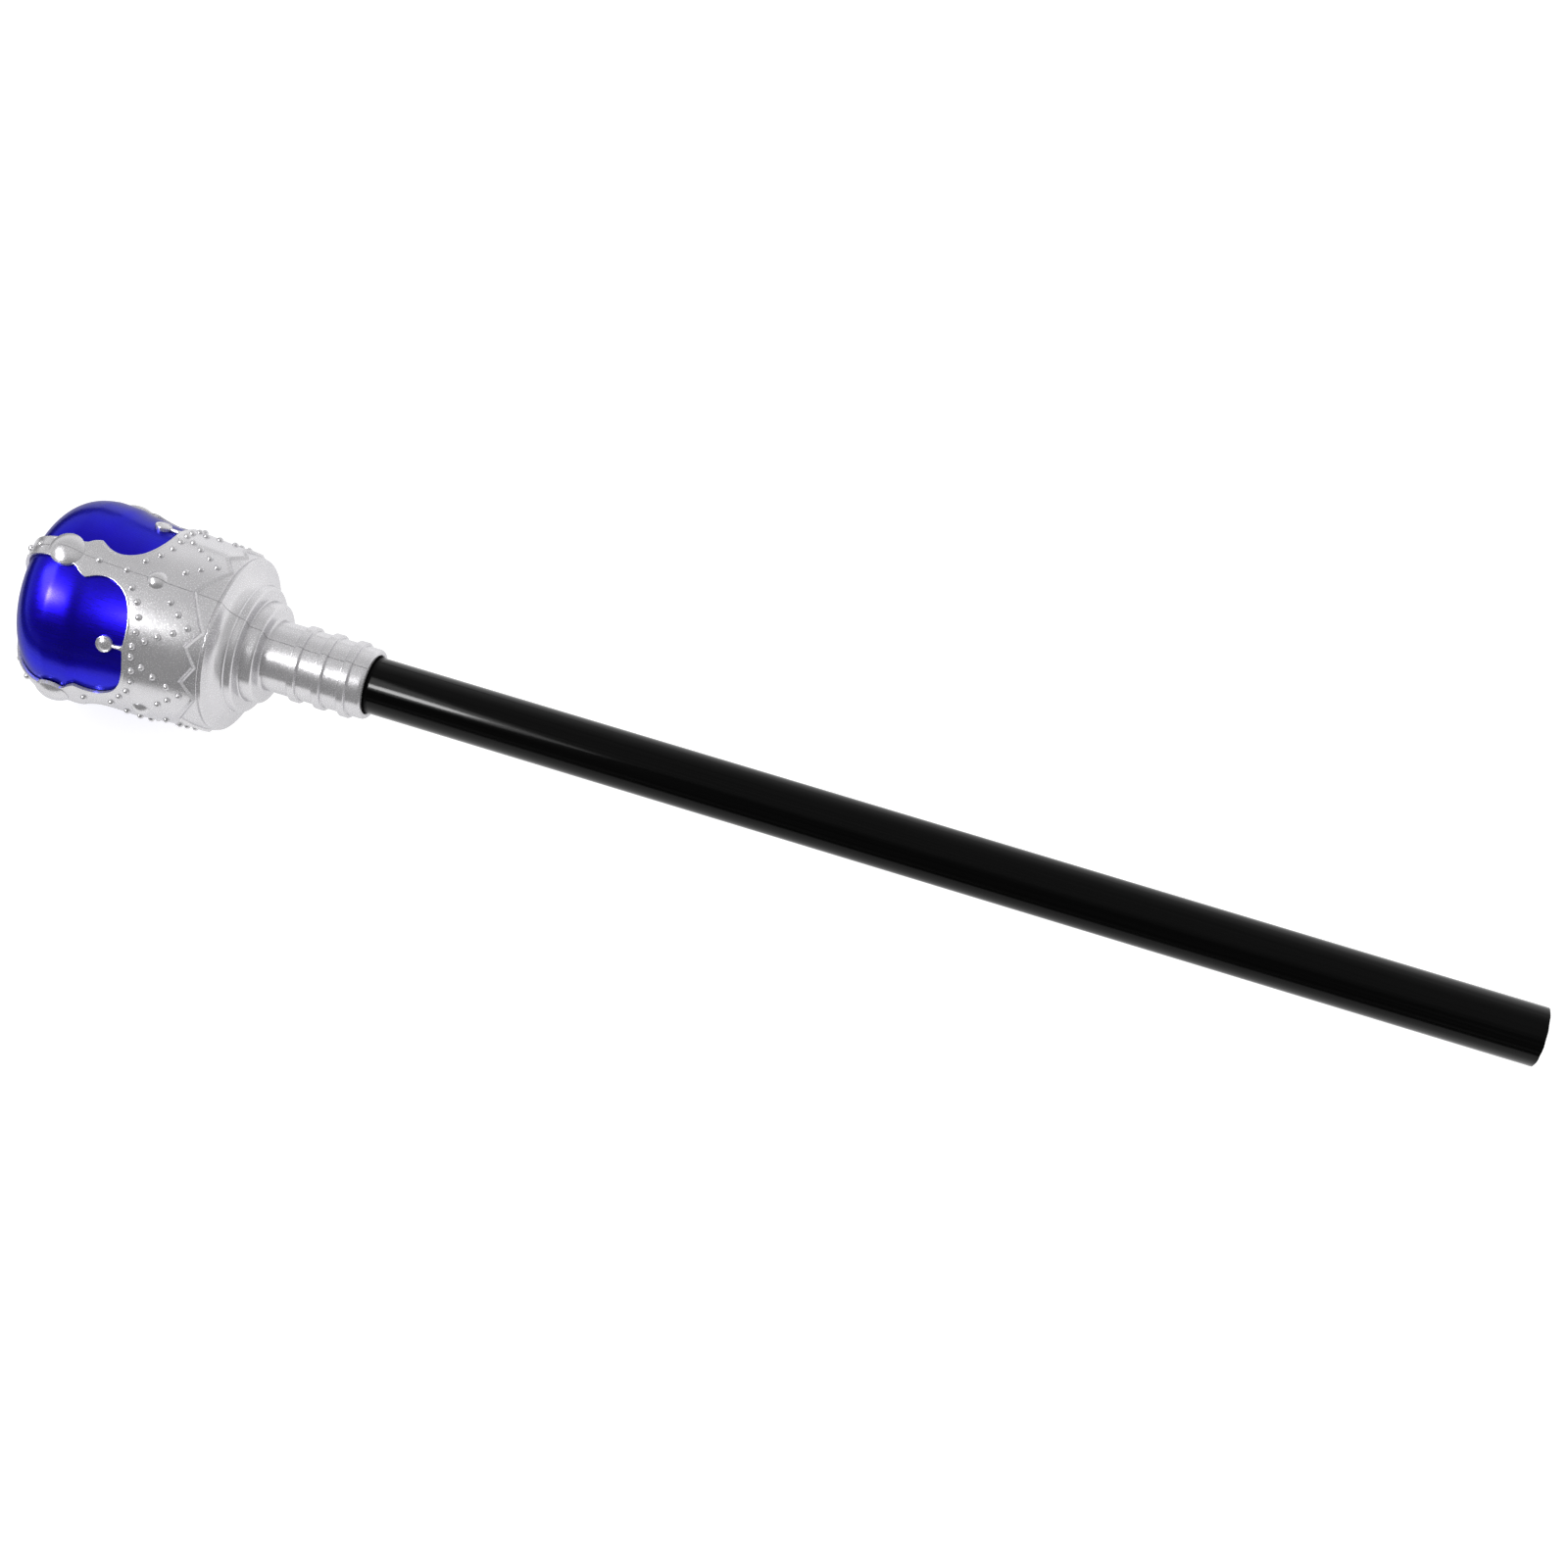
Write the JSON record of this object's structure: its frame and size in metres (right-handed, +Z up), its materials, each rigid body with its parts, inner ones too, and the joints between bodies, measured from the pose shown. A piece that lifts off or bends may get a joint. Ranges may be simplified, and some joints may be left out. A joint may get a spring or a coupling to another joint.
{
  "type": "toy sceptre wand",
  "caption": "Toy sceptre wand: moulded silver crown head over a blue dome, with a ringed neck that pushes onto a plain hollow tube.",
  "frame": {"origin": "centre of the tube's open end, on the wand's axis", "axes": "+X along the wand's axis out of the open tube end, so the head points to -X; the seam between the half shells lies in the XZ plane; +Z up"},
  "size_m": [0.4251, 0.063, 0.063],
  "materials": {
    "silver_shell": "satin metallic silver moulded plastic",
    "blue_dome": "glossy metallic blue lacquer on a plastic dome",
    "black_tube": "glossy black extruded plastic"
  },
  "bodies": {
    "handle": {"tube": "black_tube"},
    "head": {"crown_shell_front": "silver_shell", "crown_shell_back": "silver_shell", "blue_dome": "blue_dome"}
  },
  "joints": [
    {"name": "head_pull", "type": "slide", "parent": "handle", "child": "head", "axis": [-1, 0, 0], "range_m": [0, 0.028]}
  ]
}
